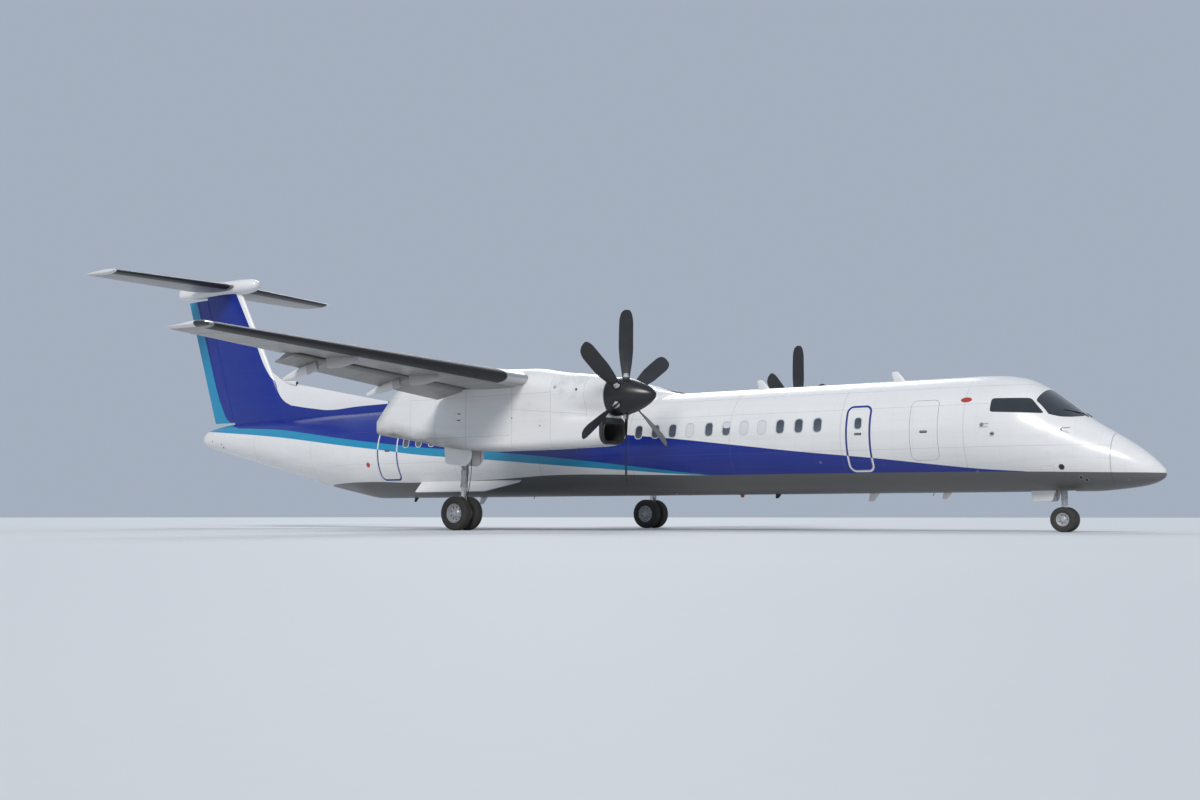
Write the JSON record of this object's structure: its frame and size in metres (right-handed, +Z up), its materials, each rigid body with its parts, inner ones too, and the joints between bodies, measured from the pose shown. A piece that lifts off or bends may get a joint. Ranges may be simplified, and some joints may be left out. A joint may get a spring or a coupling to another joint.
{
  "type": "turboprop airliner",
  "caption": "High-wing regional airliner with twin propeller engines, T-tail, hinged control surfaces, airstair door and steerable landing gear, parked on its wheels.",
  "frame": {"origin": "on the ground under the middle of the overall length, in the plane of symmetry", "axes": "+X forward to the nose, +Y to port, +Z up"},
  "size_m": [32.83, 28.42, 8.34],
  "materials": {
    "white_paint": "gloss white airframe paint with blue, cyan and grey bands",
    "blue_paint": "gloss dark blue airframe paint",
    "cyan_paint": "gloss cyan airframe paint",
    "grey_paint": "satin light grey airframe paint with black rubber leading-edge boots",
    "blade": "satin black composite",
    "spinner": "satin black paint",
    "exhaust": "heat-darkened metal",
    "engine": "cast and sheet metal",
    "glazing": "dark flight deck glazing",
    "gear_metal": "light grey enamel with bright sliding tubes",
    "wheel_hub": "silver-grey enamel",
    "tyre": "black rubber with ribbed tread"
  },
  "bodies": {
    "airframe": {"wing_fairing": "white_paint", "ventral_strake_left": "white_paint", "ventral_strake_right": "white_paint", "fuselage": "white_paint", "radome": "white_paint", "cockpit_glazing": "glazing", "aft_passenger_door": "white_paint", "aft_baggage_door": "white_paint", "forward_exit_door": "white_paint", "forward_baggage_door": "white_paint", "aft_service_door": "white_paint", "wing_center": "grey_paint", "wing_outer_left": "grey_paint", "wing_outer_right": "grey_paint", "nacelle_left": "white_paint", "exhaust_left": "exhaust", "engine_left": "engine", "nacelle_right": "white_paint", "exhaust_right": "exhaust", "engine_right": "engine", "tailplane": "grey_paint", "tail_bullet": "white_paint", "fin": "blue_paint", "main_leg_left": "gear_metal", "main_gear_door_left_inner": "white_paint", "main_gear_door_left_outer": "white_paint", "main_leg_right": "gear_metal", "main_gear_door_right_inner": "white_paint", "main_gear_door_right_outer": "white_paint", "nose_leg": "gear_metal", "nose_gear_door_left": "white_paint", "nose_gear_door_right": "white_paint"},
    "airstair": {"airstair_door": "white_paint"},
    "propeller_left": {"propeller_left": "blade", "spinner_left": "spinner"},
    "propeller_right": {"propeller_right": "blade", "spinner_right": "spinner"},
    "aileron_left": {"aileron_left": "grey_paint"},
    "aileron_right": {"aileron_right": "grey_paint"},
    "flap_inner_left": {"flap_inner_left": "grey_paint"},
    "flap_inner_right": {"flap_inner_right": "grey_paint"},
    "flap_outer_left": {"flap_outer_left": "grey_paint"},
    "flap_outer_right": {"flap_outer_right": "grey_paint"},
    "fore_rudder": {"fore_rudder": "blue_paint"},
    "trailing_rudder": {"trailing_rudder": "cyan_paint"},
    "elevator_left": {"elevator_left": "grey_paint"},
    "elevator_right": {"elevator_right": "grey_paint"},
    "nose_steering": {"nose_steering_fork": "gear_metal"},
    "nose_wheels": {"nose_wheels": "wheel_hub", "nose_tyre_left": "tyre", "nose_tyre_right": "tyre"},
    "main_wheels_left": {"main_wheels_left": "wheel_hub", "main_tyre_left_inner": "tyre", "main_tyre_left_outer": "tyre"},
    "main_wheels_right": {"main_wheels_right": "wheel_hub", "main_tyre_right_inner": "tyre", "main_tyre_right_outer": "tyre"}
  },
  "joints": [
    {"name": "prop_spin_left", "type": "hinge", "parent": "airframe", "child": "propeller_left", "pos_m": [5.335, 4.395, 3.18], "axis": [1, 0, 0], "continuous": true},
    {"name": "prop_spin_right", "type": "hinge", "parent": "airframe", "child": "propeller_right", "pos_m": [5.335, -4.395, 3.18], "axis": [1, 0, 0], "continuous": true},
    {"name": "nose_steer", "type": "hinge", "parent": "airframe", "child": "nose_steering", "pos_m": [14.215, 0, 0.28], "axis": [0, 0, 1], "range_deg": [-70, 70]},
    {"name": "nose_wheel_spin", "type": "hinge", "parent": "nose_steering", "child": "nose_wheels", "pos_m": [14.215, 0, 0.28], "axis": [0, 1, 0], "continuous": true},
    {"name": "main_wheel_spin_left", "type": "hinge", "parent": "airframe", "child": "main_wheels_left", "pos_m": [0.275, 4.395, 0.43], "axis": [0, 1, 0], "continuous": true},
    {"name": "main_wheel_spin_right", "type": "hinge", "parent": "airframe", "child": "main_wheels_right", "pos_m": [0.275, -4.395, 0.43], "axis": [0, 1, 0], "continuous": true},
    {"name": "airstair_hinge", "type": "hinge", "parent": "airframe", "child": "airstair", "pos_m": [11.685, 1.09573, 1.47], "axis": [-1, 0, 0], "range_deg": [0, 130]},
    {"name": "aileron_left_hinge", "type": "hinge", "parent": "airframe", "child": "aileron_left", "pos_m": [1.22068, 12.405, 4.00969], "axis": [-0.0475, -0.9978, -0.0466], "range_deg": [-18, 18]},
    {"name": "aileron_right_hinge", "type": "hinge", "parent": "airframe", "child": "aileron_right", "pos_m": [1.22068, -12.405, 4.00969], "axis": [0.0475, -0.9978, 0.0466], "range_deg": [-18, 18]},
    {"name": "elevator_left_hinge", "type": "hinge", "parent": "airframe", "child": "elevator_left", "pos_m": [-14.9445, 2.375, 8.088], "axis": [-0.0086, -1, 0], "range_deg": [-20, 15]},
    {"name": "elevator_right_hinge", "type": "hinge", "parent": "airframe", "child": "elevator_right", "pos_m": [-14.9445, -2.375, 8.088], "axis": [0.0086, -1, 0], "range_deg": [-20, 15]},
    {"name": "fore_rudder_hinge", "type": "hinge", "parent": "airframe", "child": "fore_rudder", "pos_m": [-14.23794, 0, 5.6225], "axis": [-0.3329, 0, 0.943], "range_deg": [-18, 18]},
    {"name": "trailing_rudder_hinge", "type": "hinge", "parent": "fore_rudder", "child": "trailing_rudder", "pos_m": [-14.75794, 0, 5.6225], "axis": [-0.3329, 0, 0.943], "range_deg": [-18, 18]},
    {"name": "flap_inner_left_arc", "type": "hinge", "parent": "airframe", "child": "flap_inner_left", "pos_m": [1.04408, 2.56, 2.56244], "axis": [-0.0127, -0.9999, 0.0045], "range_deg": [-15, 20]},
    {"name": "flap_inner_right_arc", "type": "hinge", "parent": "airframe", "child": "flap_inner_right", "pos_m": [1.04408, -2.56, 2.56244], "axis": [0.0127, -0.9999, -0.0045], "range_deg": [-15, 20]},
    {"name": "flap_outer_left_arc", "type": "hinge", "parent": "airframe", "child": "flap_outer_left", "pos_m": [1.17392, 7.945, 2.69858], "axis": [-0.0332, -0.9983, -0.0489], "range_deg": [-15, 20]},
    {"name": "flap_outer_right_arc", "type": "hinge", "parent": "airframe", "child": "flap_outer_right", "pos_m": [1.17392, -7.945, 2.69858], "axis": [0.0332, -0.9983, 0.0489], "range_deg": [-15, 20]}
  ],
  "couplings": [
    {"joint": "elevator_right_hinge", "follows": "elevator_left_hinge", "ratio": 1},
    {"joint": "aileron_right_hinge", "follows": "aileron_left_hinge", "ratio": -1},
    {"joint": "trailing_rudder_hinge", "follows": "fore_rudder_hinge", "ratio": 1},
    {"joint": "flap_inner_left_arc", "follows": "flap_outer_left_arc", "ratio": 1},
    {"joint": "flap_inner_right_arc", "follows": "flap_outer_left_arc", "ratio": 1},
    {"joint": "flap_outer_right_arc", "follows": "flap_outer_left_arc", "ratio": 1}
  ]
}
